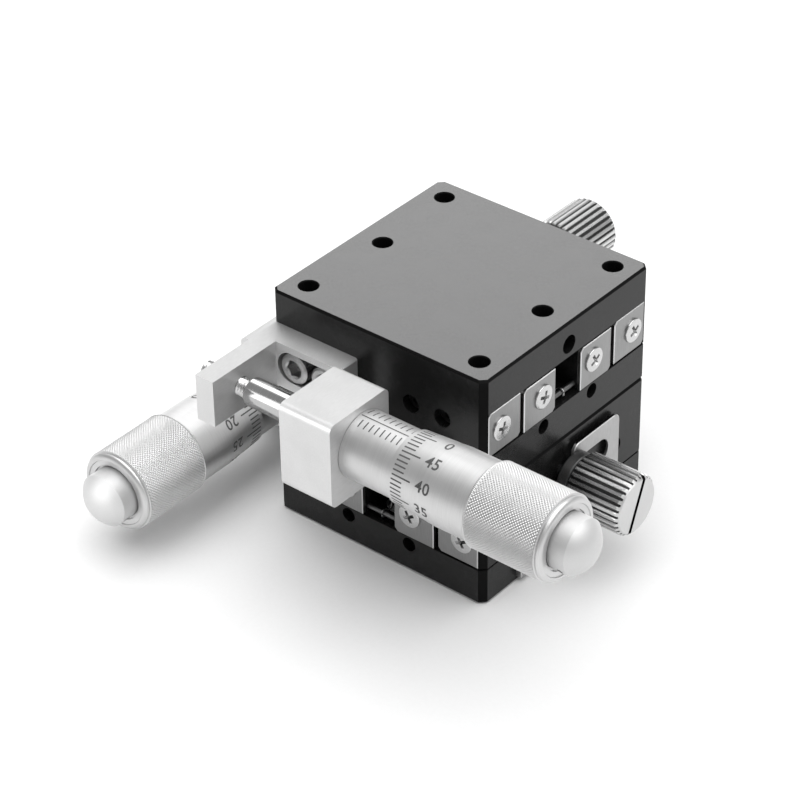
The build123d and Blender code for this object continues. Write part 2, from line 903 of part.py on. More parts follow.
knob_plane = facing(0, knob_start, knob_height, (0, 1, 0), (-1, 0, 0))
with BuildPart() as clamp_knob:
    with BuildSketch(knob_plane):
        Circle(knob_diameter / 2 - ridge_depth)
        with PolarLocations(knob_diameter / 2 - ridge_depth / 2, ridge_count):
            Rectangle(2 * ridge_depth, ridge_width)
    extrude(amount=knob_length)
    with BuildSketch(facing(0, knob_start, knob_height, (-1, 0, 0), (0, 1, 0))):
        with BuildLine():
            Polyline(
                (0, 0),
                (0, knob_diameter / 2 - knob_rim),
                (knob_rim, knob_diameter / 2),
                (knob_length - knob_rim, knob_diameter / 2),
                (knob_length, knob_diameter / 2 - knob_rim),
                (knob_length, 0),
                close=True,
            )
        make_face()
    revolve(axis=Axis((0, 0, knob_height), (0, 1, 0)), mode=Mode.INTERSECT)
    with BuildSketch(knob_plane.offset(knob_length)):
        Rectangle(knob_slot_width, knob_diameter, rotation=-knob_slot_tilt)
    extrude(amount=-knob_slot_depth, mode=Mode.SUBTRACT)
    with BuildSketch(knob_plane):
        Circle(stud_radius + running_clearance)
    extrude(amount=stud_end - knob_start + running_clearance, mode=Mode.SUBTRACT)
write_piece(clamp_knob.part, "clamp_knob")

# Return spring in the channel: a coil with an eye at each end, the base's one round a
# pin across the channel and the table's one round a pin that hangs from the plate
with BuildPart() as base_spring_pin:
    with Locations(facing(base_pin_place, 0, spring_height, (0, 1, 0))):
        Cylinder(pin_radius, 2 * (rib_inside + pin_seat))
write_piece(base_spring_pin.part, "base_spring_pin")

with BuildPart(Plane.XY.offset(spring_height - pin_overlap)) as table_spring_pin:
    with Locations((table_pin_place, 0)):
        Cylinder(
            pin_radius,
            table_bottom + pin_seat - spring_height + pin_overlap,
            align=(Align.CENTER, Align.CENTER, Align.MIN),
        )
write_piece(table_spring_pin.part, "table_spring_pin")

coil_start = table_pin_place + eye_radius + hook_length
coil_end = base_pin_place - eye_radius - hook_length
with BuildPart() as spring:
    with BuildSketch(facing(coil_start, 0, spring_height, (1, 0, 0))):
        Circle(spring_diameter / 2)
    extrude(amount=coil_end - coil_start)
    with BuildSketch(Plane.XY.offset(spring_height)):
        with Locations((table_pin_place, 0)):
            Circle(eye_radius)
        with Locations((coil_start, 0)):
            Rectangle(
                coil_start - table_pin_place,
                spring_wire,
                align=(Align.MAX, Align.CENTER),
            )
        with Locations((table_pin_place, 0)):
            Circle(eye_radius - spring_wire, mode=Mode.SUBTRACT)
    extrude(amount=spring_wire / 2, both=True)
    with BuildSketch(Plane.XZ):
        with Locations((base_pin_place, spring_height)):
            Circle(eye_radius)
        with Locations((coil_end, spring_height)):
            Rectangle(
                base_pin_place - coil_end,
                spring_wire,
                align=(Align.MIN, Align.CENTER),
            )
        with Locations((base_pin_place, spring_height)):
            Circle(eye_radius - spring_wire, mode=Mode.SUBTRACT)
    extrude(amount=spring_wire / 2, both=True)
write_piece(spring.part, "spring")

# Screws that hold the upper stage on the lower table, drawn at the tap drill inside it
stack_plane_height = stage_height + base_slab - counterbore_depth
stack_planes = [
    facing(x, y, stack_plane_height, (0, 0, 1))
    for x in both(hole_pattern / 2)
    for y in both(hole_pattern / 2)
]
stack_profile = cap_head_profile(
    cap_head_diameter, stack_screw_length, stack_plane_height - stage_height, tap_radius
)
stack_screws = turned_screws(stack_planes, stack_profile, cap_head_height, hex_size)
stack_screws.label = "stack_screws"
export_step(stack_screws, "parts/stack_screws.step")
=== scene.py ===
"""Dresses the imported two-axis ball bearing stage for its picture.

Every piece is made in millimetres in the frame of one stage: travel along X,
micrometer on the -Y side with its thimble at +X, clamp on the +Y side, base bottom
at Z = 0. The lower stage is the same model turned a quarter, the upper one stands
20 mm higher.
"""

import logging
from dataclasses import dataclass
from enum import Enum
from math import asin, ceil, copysign, cos, degrees, hypot, pi, radians, sin
from typing import Callable, Optional, Sequence, Union

import bmesh
import bpy
from mathutils import Matrix, Vector


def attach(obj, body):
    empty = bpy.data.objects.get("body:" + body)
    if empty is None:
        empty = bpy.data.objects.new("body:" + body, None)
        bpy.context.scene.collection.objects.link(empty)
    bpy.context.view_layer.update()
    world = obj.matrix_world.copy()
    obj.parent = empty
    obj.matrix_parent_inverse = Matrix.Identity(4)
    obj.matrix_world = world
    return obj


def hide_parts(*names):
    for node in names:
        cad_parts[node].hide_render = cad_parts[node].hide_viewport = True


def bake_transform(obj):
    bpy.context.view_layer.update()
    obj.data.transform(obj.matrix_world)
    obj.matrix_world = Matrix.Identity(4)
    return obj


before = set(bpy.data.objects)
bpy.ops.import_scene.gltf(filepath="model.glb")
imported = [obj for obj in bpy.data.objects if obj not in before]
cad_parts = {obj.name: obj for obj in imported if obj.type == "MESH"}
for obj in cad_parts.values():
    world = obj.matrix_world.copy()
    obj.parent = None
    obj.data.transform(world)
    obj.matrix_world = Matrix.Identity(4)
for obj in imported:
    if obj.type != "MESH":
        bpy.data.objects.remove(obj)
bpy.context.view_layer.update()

log = logging.getLogger("stage")
Number = Union[int, float]
Pair = tuple[float, float]
Triple = tuple[float, float, float]
Colour = tuple[float, float, float, float]
Skin = Callable[[float, float, float], float]

MM = 0.001
UP = (0, 0, 1)
STAGE_HEIGHT = 20
MICROMETER_AXIS = (0.0, -31.7, 10.7)
CLEARANCE = 0.02  # between turned pieces, in millimetres
SAME = 0.01  # radii nearer than this to a skin's are on it, in millimetres
SHARP = 32.0  # edges that bend more than this many degrees stay sharp
NEAR_HALF = 0.49  # the most of a line that the rounding at one end may take
INK = 1  # the place of the marks' finish among a piece's finishes


def grey(level: float) -> Colour:
    """A grey as a colour."""
    return (level, level, level, 1.0)


def wave(turns: float) -> float:
    """1 at each whole turn, 0 in the middle between two, straight in between."""
    return abs(2 * (turns % 1.0) - 1)


def held(share: float) -> float:
    """A share, held between 0 and 1."""
    return max(0.0, min(1.0, share))


class Signal:
    """A node's output that Python operators turn into Math nodes."""

    def __init__(self, sheet: "NodeSheet", socket: bpy.types.NodeSocket) -> None:
        """Keeps the socket and the sheet it is on."""
        self.sheet = sheet
        self.socket = socket

    def _math(self, operation: str, first: "Wire", second: "Wire" = 0.0) -> "Signal":
        """The result of one Math node."""
        return self.sheet.node("ShaderNodeMath", {"operation": operation}, {0: first, 1: second})

    def __add__(self, other: "Wire") -> "Signal":
        """Sum."""
        return self._math("ADD", self, other)

    def __radd__(self, other: Number) -> "Signal":
        """Sum with a number on the left."""
        return self._math("ADD", other, self)

    def __sub__(self, other: "Wire") -> "Signal":
        """Difference."""
        return self._math("SUBTRACT", self, other)

    def __rsub__(self, other: Number) -> "Signal":
        """Difference from a number."""
        return self._math("SUBTRACT", other, self)

    def __mul__(self, other: "Wire") -> "Signal":
        """Product."""
        return self._math("MULTIPLY", self, other)

    def __rmul__(self, other: Number) -> "Signal":
        """Product with a number on the left."""
        return self._math("MULTIPLY", other, self)

    def root(self) -> "Signal":
        """Square root."""
        return self._math("POWER", self, 0.5)

    def size(self) -> "Signal":
        """The value without its sign."""
        return self._math("ABSOLUTE", self)

    def largest(self, other: "Wire") -> "Signal":
        """The larger of this and another value."""
        return self._math("MAXIMUM", self, other)

    def between(self, low: float, high: float) -> "Signal":
        """Smooth step from 0 at low to 1 at high."""
        values = {"Value": self, "From Min": low, "From Max": high}
        return self.sheet.node("ShaderNodeMapRange", {"interpolation_type": "SMOOTHSTEP"}, values)


Wire = Union[Signal, Number]


class NodeSheet:
    """The node tree of one material."""

    def __init__(self, name: str) -> None:
        """Starts an empty tree in a new material of this name."""
        self.material = bpy.data.materials.new(name)
        self.material.use_nodes = True
        self.tree = self.material.node_tree
        self.tree.nodes.clear()

    def node(
        self,
        kind: str,
        settings: Optional[dict[str, object]] = None,
        inputs: Optional[dict[Union[str, int], object]] = None,
        output: Union[str, int] = 0,
    ) -> Optional[Signal]:
        """Adds a node.

        Args:
            kind: the node's type.
            settings: its properties, set first.
            inputs: a value or a signal for each socket named.
            output: which output to hand back.

        Returns:
            That output as a signal, or None if the node has no outputs.
        """
        made = self.tree.nodes.new(kind)
        for key, value in (settings or {}).items():
            setattr(made, key, value)
        for key, value in (inputs or {}).items():
            if isinstance(value, Signal):
                self.tree.links.new(value.socket, made.inputs[key])
            else:
                made.inputs[key].default_value = value
        return Signal(self, made.outputs[output]) if len(made.outputs) else None

    def place(self) -> Signal:
        """The point in the object's own frame, in metres."""
        return self.node("ShaderNodeTexCoord", output="Object")

    def scaled(self, point: Signal, factors: Triple) -> Signal:
        """A point with each coordinate multiplied by its factor."""
        return self.node("ShaderNodeVectorMath", {"operation": "MULTIPLY"}, {0: point, 1: factors})

    def noise(
        self, point: Signal, scale: float, rough: float = 0.5, layers: float = 3.0
    ) -> Signal:
        """Smooth noise from 0 to 1, with a number of lumps in a metre and finer layers."""
        values = {"Vector": point, "Scale": scale, "Detail": layers, "Roughness": rough}
        return self.node("ShaderNodeTexNoise", {}, values)

    def mixed(self, factor: Wire, low: object, high: object) -> Signal:
        """The first colour at factor 0, the second at 1."""
        return self.node("ShaderNodeMix", {"data_type": "RGBA"}, {0: factor, 6: low, 7: high}, 2)

    def parts(self, vector: Signal) -> list[Signal]:
        """The X, Y and Z of a vector."""
        return [self.node("ShaderNodeSeparateXYZ", {}, {0: vector}, axis) for axis in "XYZ"]

    def facing(self) -> list[Signal]:
        """The X, Y and Z of the direction that the face looks to."""
        return self.parts(self.node("ShaderNodeNewGeometry", output="True Normal"))

    def bevel(self, straight: Pair = (0.86, 0.97)) -> Signal:
        """1 on slanted faces, whose normal's largest part is small, for painted bevel light."""
        x, y, z = (part.size() for part in self.facing())
        return 1 - x.largest(y).largest(z).between(*straight)

    def off_axis(self, point: Signal) -> Signal:
        """How far a point is from the object's X axis, in metres."""
        x, y, z = self.parts(point)
        return (y * y + z * z).root()

    def bump(self, height: Signal, strength: float, distance: float) -> Signal:
        """Normal bent by a height, where a height of 1 is a distance in metres."""
        values = {"Strength": strength, "Distance": distance, "Height": height}
        return self.node("ShaderNodeBump", {}, values)

    def shader(self, inputs: dict[str, object]) -> Signal:
        """A surface shader with these sockets."""
        return self.node("ShaderNodeBsdfPrincipled", {}, inputs)

    def close(self, surface: Signal) -> bpy.types.Material:
        """Joins a shader to the output and hands back the finished material."""
        self.node("ShaderNodeOutputMaterial", {}, {"Surface": surface})
        return self.material


@dataclass(frozen=True)
class Finish:
    """A surface with grain: lumps in its colour, its gloss and its height.

    The grain's three factors stretch it: a small factor draws it out along that axis.
    Bevels, faces that look up and grooves round the object's X axis can carry painted
    light in their colour: a painted highlight on bevels, painted shade on faces that look
    up and painted shade in grooves, whose two radii, in millimetres, are where the painted
    shade ends and where the main colour is reached. Bevels can also get painted shade, a
    matte shader that barely reflects. The share is the grain's part in the colour, and
    the blotches have the rest; the tones are the noise at which the two colours begin.
    """

    name: str
    colour: Colour
    mottled: Colour
    metallic: float = 1.0
    roughness: float = 0.3
    roughness_spread: float = 0.08
    grain: Triple = (1.0, 1.0, 1.0)
    grain_scale: float = 6000.0
    grain_rough: float = 0.6
    grain_share: float = 0.6
    blotch_scale: float = 250.0
    tones: Pair = (0.3, 0.7)
    bump_strength: float = 0.2
    bump_height: float = 1e-5
    specular: float = 0.5
    # colour of bevels: a painted highlight where the chamfers would catch light
    bevel: Optional[Colour] = None
    # colour of faces that look up: painted shade
    upper: Optional[Colour] = None
    upright: Pair = (0.8, 0.95)
    # colour in grooves round the X axis: painted shade
    groove: Optional[Colour] = None
    groove_radii: Pair = (0.0, 1.0)
    # painted shade on bevels: a matte shader with this roughness and specular that barely reflects,
    # so chamfers show as dark lines
    dull_bevels: bool = False
    dull_roughness: float = 0.5
    dull_specular: float = 0.05

    @property
    def full_name(self) -> str:
        """The material's name, which no packed material has."""
        return f"{self.name}_finish"

    def material(self) -> bpy.types.Material:
        """Draws the finish.

        Returns:
            The material.
        """
        sheet = NodeSheet(self.full_name)
        point = sheet.place()
        grain = sheet.noise(sheet.scaled(point, self.grain), self.grain_scale, self.grain_rough)
        blotch = sheet.noise(point, self.blotch_scale)
        tone = (grain * self.grain_share + blotch * (1 - self.grain_share)).between(*self.tones)
        rough = self.roughness + (blotch * 0.5 + grain * 0.5 - 0.5) * (2 * self.roughness_spread)
        colour = sheet.mixed(tone, self.colour, self.mottled)
        # painted shade: grooves round the X axis get a darker colour
        if self.groove:
            low, high = (radius * MM for radius in self.groove_radii)
            colour = sheet.mixed(sheet.off_axis(point).between(low, high), self.groove, colour)
        # painted shade: faces that look up get a darker colour
        if self.upper:
            colour = sheet.mixed(sheet.facing()[2].between(*self.upright), colour, self.upper)
        # painted highlight: the bevels get a lighter colour
        if self.bevel:
            colour = sheet.mixed(sheet.bevel(), colour, self.bevel)
        inputs = {
            "Base Color": colour,
            "Metallic": self.metallic,
            "Roughness": rough,
            "Normal": sheet.bump(grain, self.bump_strength, self.bump_height),
            "Specular IOR Level": self.specular,
        }
        surface = sheet.shader(inputs)
        # painted shade: the bevels get a matte shader that barely reflects, so they show as dark
        # lines
        if self.dull_bevels:
            inputs = {"Base Color": self.colour, "Roughness": self.dull_roughness}
            painted_dark_bevel_surface = sheet.shader({**inputs, "Specular IOR Level": self.dull_specular})
            surface = sheet.node("ShaderNodeMixShader", {}, {0: sheet.bevel(), 1: surface, 2: painted_dark_bevel_surface})
        return sheet.close(surface)


FINISHES = (
    Finish(
        "black_anodised", grey(0.0045), grey(0.0075), metallic=0.0, roughness=0.27,
        roughness_spread=0.04, grain_scale=9000.0, bump_strength=0.3, bump_height=5e-6,
        # the black chamfer lines are painted shade
        specular=0.25, dull_bevels=True,
    ),
    Finish(
        "clear_anodised", grey(0.52), grey(0.58), metallic=0.8, roughness=0.46,
        roughness_spread=0.05, grain=(1.0, 0.15, 1.0), bump_strength=0.25,
    ),
    Finish(
        "satin_chrome", grey(0.56), grey(0.63), roughness=0.42, roughness_spread=0.05,
        grain=(1.0, 0.02, 0.02), grain_scale=9000.0, bump_height=4e-6,
    ),
    Finish(
        "cap_chrome", grey(0.59), grey(0.62), metallic=0.8, roughness=0.54,
        roughness_spread=0.02, bump_strength=0.04, bump_height=2e-6,
    ),
    Finish(
        "spindle_steel", grey(0.42), grey(0.48), roughness=0.13, roughness_spread=0.04,
        grain=(1.0, 0.02, 0.02), grain_scale=9000.0, bump_strength=0.15, bump_height=2e-6,
    ),
    Finish(
        "end_plate_steel", grey(0.25), grey(0.3), roughness=0.36, roughness_spread=0.06,
        # the light bevel colour is a painted highlight on the plates' chamfers
        grain=(1.0, 1.0, 0.06), grain_scale=7000.0, bump_height=4e-6, bevel=grey(0.7),
    ),
    Finish(
        "clamp_plate_steel", grey(0.36), grey(0.44), roughness=0.4, roughness_spread=0.05,
        # the light bevel colour is a painted highlight on the plate's chamfers
        grain=(1.0, 1.0, 0.1), bump_strength=0.1, bump_height=4e-6, bevel=grey(0.62),
        # the near-black top face is painted shade, the dark line above the plate
        upper=grey(0.01),
    ),
    Finish("screw_steel", grey(0.52), grey(0.64), roughness=0.26, roughness_spread=0.06),
    Finish(
        "socket_steel", grey(0.36), grey(0.52), roughness=0.34, roughness_spread=0.1,
        blotch_scale=900.0,
    ),
    Finish("black_screw", grey(0.03), grey(0.05), metallic=0.7, roughness=0.36),
    Finish(
        "knob_steel", grey(0.58), grey(0.64), roughness=0.26, roughness_spread=0.03,
        # the dark groove colour is painted shade between the ridges
        bump_strength=0.03, bump_height=2e-6, groove=grey(0.08), groove_radii=(4.58, 4.82),
    ),
    Finish(
        "knob_face_steel", grey(0.56), grey(0.62), roughness=0.4, roughness_spread=0.04,
        bump_strength=0.05,
    ),
    Finish("washer_steel", grey(0.12), grey(0.18), roughness=0.36),
    Finish("hard_steel", grey(0.5), grey(0.58), roughness=0.2, grain=(0.05, 1.0, 1.0)),
    Finish("cage_brass", (0.62, 0.46, 0.2, 1.0), (0.7, 0.54, 0.26, 1.0), roughness=0.34),
    Finish("spring_steel", grey(0.3), grey(0.4)),
    Finish("scale_ink", grey(0.07), grey(0.1), metallic=0.0, roughness=0.6, specular=0.15),
    Finish(
        "floor_paper", grey(0.9), grey(0.92), metallic=0.0, roughness=0.9, grain_scale=1500.0,
        blotch_scale=20.0, bump_strength=0.02, specular=0.0,
    ),
)
BOOK: dict[str, Finish] = {finish.name: finish for finish in FINISHES}
MARKED = ("satin_chrome", "scale_ink")


def material_of(name: str) -> bpy.types.Material:
    """The material of a finish, drawn the first time it is asked for."""
    finish = BOOK[name]
    return bpy.data.materials.get(finish.full_name) or finish.material()


def add_object(name: str, data: bpy.types.ID) -> bpy.types.Object:
    """Puts a mesh, a curve, a light or a camera into the scene."""
    made = bpy.data.objects.new(name, data)
    bpy.context.scene.collection.objects.link(made)
    return made


def final_mesh(*things: bpy.types.Object) -> bpy.types.Mesh:
    """Takes objects out of the scene and keeps the mesh that the first one comes to.

    Args:
        things: an object with its text or modifiers, and those that it uses.

    Returns:
        A new mesh.
    """
    bpy.context.view_layer.update()
    graph = bpy.context.evaluated_depsgraph_get()
    mesh = bpy.data.meshes.new_from_object(things[0].evaluated_get(graph))
    for thing in things:
        bpy.data.objects.remove(thing)
    return mesh


def smooth(mesh: bpy.types.Mesh, sharp: float) -> bpy.types.Mesh:
    """Shades a mesh smooth, apart from edges that bend more than this many degrees."""
    mesh.polygons.foreach_set("use_smooth", [True] * len(mesh.polygons))
    mesh.set_sharp_from_angle(angle=radians(sharp))
    mesh.update()
    return mesh


class Level(Enum):
    """The two stages, by the name that their nodes start with."""

    LOWER = "lower"
    UPPER = "upper"

    @property
    def matrix(self) -> Matrix:
        """From the frame of one stage, in metres, to the row frame."""
        if self is Level.LOWER:
            return Matrix.Rotation(radians(-90), 4, "Z")
        return Matrix.Translation((0, 0, STAGE_HEIGHT * MM))

    @property
    def base_body(self) -> str:
        """The body that carries this stage's base."""
        return "base" if self is Level.LOWER else "lower_table"

    @property
    def table_body(self) -> str:
        """The body of this stage's table."""
        return self.node("table")

    def node(self, name: str) -> str:
        """The name of this stage's copy of a node or a body."""
        return f"{self.value}_{name}"


def frame_at(point: Sequence[float], axis: Sequence[float], up: Sequence[float] = UP) -> Matrix:
    """A frame whose X is an axis and whose Z is nearest to up.

    Args:
        point: its origin, in millimetres.
        axis: its X direction.
        up: the direction that its Z leans to.

    Returns:
        The frame, in metres.
    """
    x = Vector(axis).normalized()
    y = Vector(up).cross(x).normalized()
    turn = Matrix((x, y, x.cross(y))).transposed().to_4x4()
    return Matrix.Translation(Vector(point) * MM) @ turn


def hexagon(width: float, turn: float = 0.0) -> list[Pair]:
    """A hexagon's corners.

    Args:
        width: its width across the flats.
        turn: how far it is turned, in degrees.

    Returns:
        The corners' (Y, Z).
    """
    corner = width / 2 / cos(pi / 6)
    angles = [radians(turn) + pi * i / 3 for i in range(6)]
    return [(corner * cos(a), corner * sin(a)) for a in angles]


def softened(corners: Sequence[Triple], steps: int = 4) -> list[Pair]:
    """A profile whose corners are rounded.

    Args:
        corners: (along, radius, rounding) of each corner, in millimetres.
        steps: how many pieces each rounding has.

    Returns:
        The profile's points.
    """
    points: list[Pair] = []
    last = len(corners) - 1
    for index, (along, radius, rounding) in enumerate(corners):
        here = Vector((along, radius))
        if rounding <= 0 or index in (0, last):
            points.append((along, radius))
            continue
        before = Vector(corners[index - 1][:2]) - here
        after = Vector(corners[index + 1][:2]) - here
        cut = min(rounding, before.length * NEAR_HALF, after.length * NEAR_HALF)
        start = here + before.normalized() * cut
        end = here + after.normalized() * cut
        for step in range(steps + 1):
            t = step / steps
            point = start * (1 - t) ** 2 + here * (2 * t * (1 - t)) + end * t * t
            points.append((point.x, point.y))
    return points


class Draft:
    """Faces of one piece, collected in millimetres in the piece's own frame."""

    def __init__(self) -> None:
        """Starts empty."""
        self.points: list[Vector] = []
        self.faces: list[tuple[int, ...]] = []
        self.finishes: list[int] = []

    def add(
        self, points: Sequence[Sequence[float]], faces: Sequence[Sequence[int]], finish: int = 0
    ) -> None:
        """Adds points and faces.

        Args:
            points: the points, in millimetres.
            faces: the faces, by point.
            finish: which of the piece's finishes they have.
        """
        start = len(self.points)
        self.points += [Vector(point) for point in points]
        self.faces += [tuple(start + i for i in face) for face in faces]
        self.finishes += [finish] * len(faces)

    def add_mesh(self, mesh: bpy.types.Mesh, place: Matrix) -> None:
        """Adds a copy of a mesh.

        Args:
            mesh: the mesh, in metres.
            place: the copy's frame, in metres.
        """
        place.translation /= MM
        points = [place @ (vertex.co / MM) for vertex in mesh.vertices]
        self.add(points, [tuple(polygon.vertices) for polygon in mesh.polygons])

    def loft(
        self, rings: Sequence[Sequence[Sequence[float]]], finish: int = 0, around: bool = True
    ) -> None:
        """Joins rings of points with faces.

        Args:
            rings: rings of equally many points, or of one point at a tip.
            finish: which of the piece's finishes they have.
            around: whether each ring closes on itself.
        """
        points = [point for ring in rings for point in ring]
        faces: list[tuple[int, ...]] = []
        start = 0
        for ring, following in zip(rings, rings[1:]):
            after = start + len(ring)
            count = max(len(ring), len(following))
            for i in range(count if around else count - 1):
                j = (i + 1) % count
                if len(ring) == 1:
                    faces.append((start, after + j, after + i))
                elif len(following) == 1:
                    faces.append((start + i, start + j, after))
                else:
                    faces.append((start + i, start + j, after + j, after + i))
            start = after
        self.add(points, faces, finish)

    def turned(
        self, profile: Sequence[Pair], segments: int, skin: Optional[Skin] = None
    ) -> None:
        """Turns a profile round the X axis.

        Args:
            profile: (along, radius) of each point, in millimetres.
            segments: how many pieces the turn has.
            skin: gives the true radius from (along, radius, angle).
        """
        rings = []
        for along, distance in profile:
            if distance < 1e-6:
                rings.append([(along, 0.0, 0.0)])
                continue
            ring = []
            for i in range(segments):
                angle = 2 * pi * i / segments
                r = skin(along, distance, angle) if skin else distance
                ring.append((along, -r * sin(angle), r * cos(angle)))
            rings.append(ring)
        self.loft(rings)

    def prism(
        self, outline: Sequence[Pair], start: float, end: float, end_scale: float = 1.0
    ) -> None:
        """A prism along X, or a pyramid's stump.

        Args:
            outline: its (Y, Z) corners, in millimetres.
            start: where it starts along X.
            end: where it ends along X.
            end_scale: how large the end is beside the start.
        """
        count = len(outline)
        points = [(start, y, z) for y, z in outline]
        points += [(end, y * end_scale, z * end_scale) for y, z in outline]
        faces = [(i, (i + 1) % count, count + (i + 1) % count, count + i) for i in range(count)]
        faces += [tuple(reversed(range(count))), tuple(range(count, 2 * count))]
        self.add(points, faces)

    def mesh(self, sharp: float = SHARP) -> bpy.types.Mesh:
        """The draft as a mesh in metres, with its faces turned outwards.

        Args:
            sharp: edges that bend more than this many degrees stay sharp.

        Returns:
            The mesh.
        """
        mesh = bpy.data.meshes.new("draft")
        mesh.from_pydata([point * MM for point in self.points], [], self.faces)
        mesh.polygons.foreach_set("material_index", self.finishes)
        work = bmesh.new()
        work.from_mesh(mesh)
        bmesh.ops.recalc_face_normals(work, faces=work.faces)
        work.to_mesh(mesh)
        work.free()
        return smooth(mesh, sharp)


def cut_from(mesh: bpy.types.Mesh, tools: bpy.types.Mesh, sharp: float = SHARP) -> bpy.types.Mesh:
    """Takes one mesh out of another.

    Args:
        mesh: what is cut.
        tools: what cuts it.
        sharp: edges that bend more than this many degrees stay sharp.

    Returns:
        A new mesh.
    """
    whole = add_object("cut_whole", mesh)
    cutter = add_object("cut_tools", tools)
    step = whole.modifiers.new("cut", "BOOLEAN")
    step.operation = "DIFFERENCE"
    step.solver = "EXACT"
    step.object = cutter
    return smooth(final_mesh(whole, cutter), sharp)


def dress(node: str, finish: str) -> None:
    """Gives a node that stays a finish.

    Args:
        node: the node's name.
        finish: the finish's name.
    """
    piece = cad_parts[node]
    material = material_of(finish)
    if not piece.material_slots:
        piece.data.materials.append(material)
    for slot in piece.material_slots:
        slot.material = material
    log.info("%s: %s", node, finish)


@dataclass(frozen=True)
class CrossHeadScrew:
    """A countersunk screw with a cross recess, its axis along X and its plane at 0."""

    head: float = 3.9
    rim: float = 0.35
    rim_edge: float = 0.06
    rim_slope: float = 0.25
    thread: float = 2.0
    length: float = 5.0
    dome: float = 0.12
    recess_width: float = 2.3
    recess_slot: float = 0.56
    recess_depth: float = 1.2
    taper: float = 0.45
    overcut: float = 0.05
    suffix: str = "cross"
    finish: str = "screw_steel"

    def mesh(self, turn: float) -> bpy.types.Mesh:
        """The screw.

        Args:
            turn: how far its recess is turned, in degrees.

        Returns:
            Its mesh.
        """
        body = Draft()
        cone = (self.head - self.thread) / 2
        corners = [
            (-self.length, 0.0, 0.0),
            (-self.length, self.thread / 2, 0.0),
            (-cone, self.thread / 2, 0.0),
            (0.0, self.head / 2, self.rim_edge),
            (self.rim - self.rim_edge, self.head / 2, 0.1),
            (self.rim, self.head / 2 - self.rim_slope, 0.1),
            (self.rim + self.dome, 0.0, 0.0),
        ]
        body.turned(softened(corners), segments=64)
        tools = Draft()
        long, short = self.recess_width / 2, self.recess_slot / 2
        cross = [
            (short, short), (short, long), (-short, long), (-short, short),
            (-long, short), (-long, -short), (-short, -short), (-short, -long),
            (short, -long), (short, -short), (long, -short), (long, short),
        ]
        c, s = cos(radians(turn)), sin(radians(turn))
        cross = [(y * c - z * s, y * s + z * c) for y, z in cross]
        top = self.rim + self.dome + self.overcut
        tools.prism(cross, top, top - self.recess_depth, self.taper)
        return cut_from(body.mesh(), tools.mesh())


@dataclass(frozen=True)
class SocketScrew:
    """A cap screw with a hexagon socket, its axis along X and its head from 0 up."""

    head_radius: float = 2.5
    head_height: float = 3.0
    head_rings: Triple = (0.5, 0.4, 0.25)
    head_slope: float = 0.3
    shank_radius: float = 1.5
    length: float = 6.0
    hexagon: float = 2.5
    hexagon_depth: float = 1.8
    entrance: float = 0.12
    entrance_depth: float = 0.35
    overcut: float = 0.05
    ridge_count: int = 36
    ridge_depth: float = 0.1
    ridge_end: float = 0.45
    suffix: str = "socket"
    finish: str = "socket_steel"

    def ridge(self, along: float, radius: float, angle: float) -> float:
        """The head's radius with its fine ridges, from the place, radius and angle without."""
        plain = radius < self.head_radius - SAME or along > self.head_height - self.ridge_end
        ridge = self.ridge_depth * wave(angle * self.ridge_count / (2 * pi))
        return radius if plain else radius - ridge

    def mesh(self, turn: float) -> bpy.types.Mesh:
        """The screw.

        Args:
            turn: how far its socket is turned, in degrees.

        Returns:
            Its mesh.
        """
        body = Draft()
        height = self.head_height
        corners = [
            (-self.length, 0.0, 0.0),
            (-self.length, self.shank_radius, 0.2),
            (0.0, self.shank_radius, 0.0),
            (0.0, self.head_radius, 0.1),
            *((height - ring, self.head_radius, 0.0) for ring in self.head_rings),
            (height, self.head_radius - self.head_slope, 0.1),
            (height, 0.0, 0.0),
        ]
        body.turned(softened(corners), 4 * self.ridge_count, self.ridge)
        tools, funnel = Draft(), Draft()
        top, bottom = height + self.overcut, height - self.entrance_depth
        tools.prism(hexagon(self.hexagon, turn), top, height - self.hexagon_depth)
        wide = self.hexagon / 2 / cos(pi / 6) + self.entrance
        low = wide - self.entrance_depth
        cone = [(top, 0.0), (top, wide + self.overcut), (bottom, low), (bottom, 0.0)]
        funnel.turned(cone, segments=48)
        return cut_from(cut_from(body.mesh(), tools.mesh()), funnel.mesh())


@dataclass(frozen=True)
class Screws:
    """Equal screws in the outer faces of a stage, with each recess turned its own way.

    Each face is an end, where the lines are along Y, or a side, where they are along X.
    """

    screw: Union[CrossHeadScrew, SocketScrew]
    planes: tuple[float, ...]
    lines: Pair
    height: float
    turns: tuple[float, ...]
    on_ends: bool = False

    @property
    def places(self) -> list[tuple[Triple, Triple, float]]:
        """The point, the axis and the turn of each screw, in the stage's frame."""
        places = []
        for plane in self.planes:
            for line in self.lines:
                out, turn = copysign(1, plane), self.turns[len(places)]
                if self.on_ends:
                    places.append(((plane, line, self.height), (out, 0, 0), turn))
                else:
                    places.append(((line, plane, self.height), (0, out, 0), turn))
        return places


